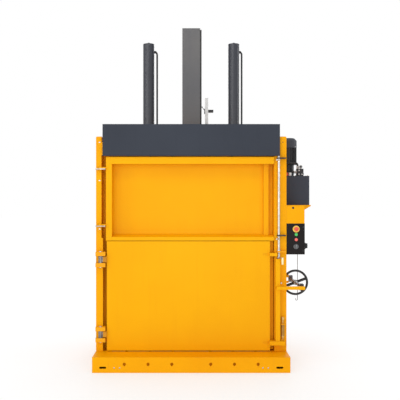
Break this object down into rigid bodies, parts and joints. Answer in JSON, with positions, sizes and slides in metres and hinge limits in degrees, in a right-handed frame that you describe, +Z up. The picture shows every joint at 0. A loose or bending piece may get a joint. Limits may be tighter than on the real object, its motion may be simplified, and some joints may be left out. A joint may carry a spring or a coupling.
{
  "type": "recycling baler",
  "caption": "Upright two-cylinder recycling baler with feed door, bale door, screw lock, side-mounted power unit and control box.",
  "frame": {"origin": "centre of the base on the floor plane, on the underside of the middle cross beam", "axes": "+Z up, +Y from the doors to the rear wall, +X to the right seen from the front"},
  "size_m": [2.041, 1.16, 3.222],
  "materials": {
    "frame_orange": "gloss orange-yellow paint",
    "door_orange": "gloss orange-yellow paint",
    "lining_orange": "orange-yellow paint, rubbed by bales",
    "hood_slate": "satin slate-grey paint",
    "cylinder_slate": "satin slate-grey paint",
    "mast_grey": "satin mid-grey paint",
    "knuckle_blue": "blue-grey paint",
    "bright_steel": "zinc plated",
    "rod_chrome": "polished and plated",
    "black_iron": "black painted",
    "spring_steel": "bright spring wire",
    "motor_slate": "dark grey painted casting",
    "cowl_slate": "dark grey paint",
    "box_dark": "fine-textured dark paint",
    "hose_black": "matt rubber with steel ends",
    "fitting_mixed": "turned metal and coloured caps",
    "plastic_black": "moulded black plastic",
    "plastic_grip": "pale moulded grip",
    "plastic_yellow": "yellow moulded plastic",
    "plastic_red": "red moulded plastic",
    "plastic_green": "green moulded plastic"
  },
  "bodies": {
    "frame": {"base_beams": "frame_orange", "base_front_beam": "frame_orange", "floor_slats": "lining_orange", "left_post": "frame_orange", "right_post": "frame_orange", "left_side_wall": "frame_orange", "right_side_wall": "frame_orange", "rear_wall": "frame_orange", "rear_slats": "lining_orange", "crosshead_beams": "frame_orange", "hood": "hood_slate", "cylinder_barrels": "cylinder_slate", "cylinder_pipes": "cylinder_slate", "switch_bracket": "bright_steel", "switch_body": "plastic_black", "console_bracket": "frame_orange", "tank_tray": "frame_orange", "oil_tank": "hood_slate", "bell_housing": "motor_slate", "motor_body": "motor_slate", "fan_cowl": "cowl_slate", "valve_block": "motor_slate", "tank_fittings": "fitting_mixed", "hydraulic_hoses": "hose_black", "control_box": "box_dark", "estop_collar": "plastic_yellow", "threading_hook": "bright_steel", "hinge_lugs": "frame_orange", "lower_hinge_pins": "bright_steel", "right_post_brackets": "frame_orange", "spindle_keeper": "frame_orange"},
    "ram": {"platen_plate": "lining_orange", "platen_slats": "lining_orange", "piston_rods": "rod_chrome", "mast": "mast_grey"},
    "upper_door": {"upper_door_panel": "door_orange", "upper_door_top_rail": "door_orange", "upper_door_sill": "door_orange", "upper_door_stiles": "door_orange", "upper_hinge_leaves": "door_orange"},
    "lower_door": {"lower_door_shell": "door_orange", "lower_door_slats": "lining_orange", "lower_hinge_knuckles": "knuckle_blue", "lock_bar": "door_orange", "wheel_arm": "door_orange"},
    "lock_swing": {"swing_clevis": "bright_steel"},
    "handwheel": {"lock_screw": "bright_steel", "handwheel": "black_iron"},
    "cross_nut": {"cross_nut": "bright_steel"},
    "latch": {"latch_rod": "bright_steel", "latch_grip": "plastic_grip"},
    "catch": {"catch_bolt": "bright_steel", "catch_spring": "spring_steel"},
    "estop": {"estop_mushroom": "plastic_red"},
    "start": {"start_button": "plastic_green"},
    "stop": {"stop_button": "plastic_red"},
    "selector": {"selector_knob": "plastic_black"},
    "isolator": {"isolator_handle": "plastic_black"},
    "fan": {"motor_fan": "plastic_black"},
    "switch_lever": {"switch_lever": "plastic_black"}
  },
  "joints": [
    {"name": "ram_slide", "type": "slide", "parent": "frame", "child": "ram", "axis": [0, 0, -1], "range_m": [0, 0.88]},
    {"name": "upper_door_swing", "type": "hinge", "parent": "frame", "child": "upper_door", "pos_m": [-0.831, -0.378, 1.5], "axis": [0, 0, -1], "range_deg": [0, 110]},
    {"name": "lower_door_swing", "type": "hinge", "parent": "frame", "child": "lower_door", "pos_m": [-0.831, -0.378, 0.64], "axis": [0, 0, -1], "range_deg": [0, 110]},
    {"name": "screw_swing", "type": "hinge", "parent": "lower_door", "child": "lock_swing", "pos_m": [1.012, -0.372, 0.727], "axis": [0, 0, -1], "range_deg": [-5.3, 80]},
    {"name": "wheel_turn", "type": "hinge", "parent": "lock_swing", "child": "handwheel", "pos_m": [1.012, -0.034, 0.727], "axis": [0, 1, 0], "range_deg": [-720, 720]},
    {"name": "nut_travel", "type": "slide", "parent": "lock_swing", "child": "cross_nut", "axis": [0, 1, 0], "range_m": [-0.0162, 0.0162]},
    {"name": "latch_turn", "type": "hinge", "parent": "frame", "child": "latch", "pos_m": [0.802, -0.378, 1.4], "axis": [0, 0, 1], "range_deg": [-62, 28]},
    {"name": "catch_slide", "type": "slide", "parent": "frame", "child": "catch", "axis": [0, 0, -1], "range_m": [0, 0.028], "deforming": ["catch_spring"]},
    {"name": "estop_press", "type": "slide", "parent": "frame", "child": "estop", "axis": [0, 1, 0], "range_m": [0, 0.006], "stiffness_N_per_m": 1500},
    {"name": "start_press", "type": "slide", "parent": "frame", "child": "start", "axis": [0, 1, 0], "range_m": [0, 0.004], "stiffness_N_per_m": 1000},
    {"name": "stop_press", "type": "slide", "parent": "frame", "child": "stop", "axis": [0, 1, 0], "range_m": [0, 0.004], "stiffness_N_per_m": 1000},
    {"name": "selector_turn", "type": "hinge", "parent": "frame", "child": "selector", "pos_m": [0.964, -0.354, 1.099], "axis": [0, 1, 0], "range_deg": [-45, 45]},
    {"name": "isolator_turn", "type": "hinge", "parent": "frame", "child": "isolator", "pos_m": [1.06, -0.284, 1.101], "axis": [1, 0, 0], "range_deg": [0, 90]},
    {"name": "fan_spin", "type": "hinge", "parent": "frame", "child": "fan", "pos_m": [0.976, 0.2, 2.07], "axis": [0, 0, 1], "continuous": true},
    {"name": "switch_lever_turn", "type": "hinge", "parent": "frame", "child": "switch_lever", "pos_m": [0.14, 0.109, 2.405], "axis": [0, 1, 0], "range_deg": [0, 30], "stiffness_Nm_per_rad": 0.2}
  ],
  "couplings": [
    {"joint": "nut_travel", "follows": "wheel_turn", "m_per_rad": 0.0012732}
  ]
}
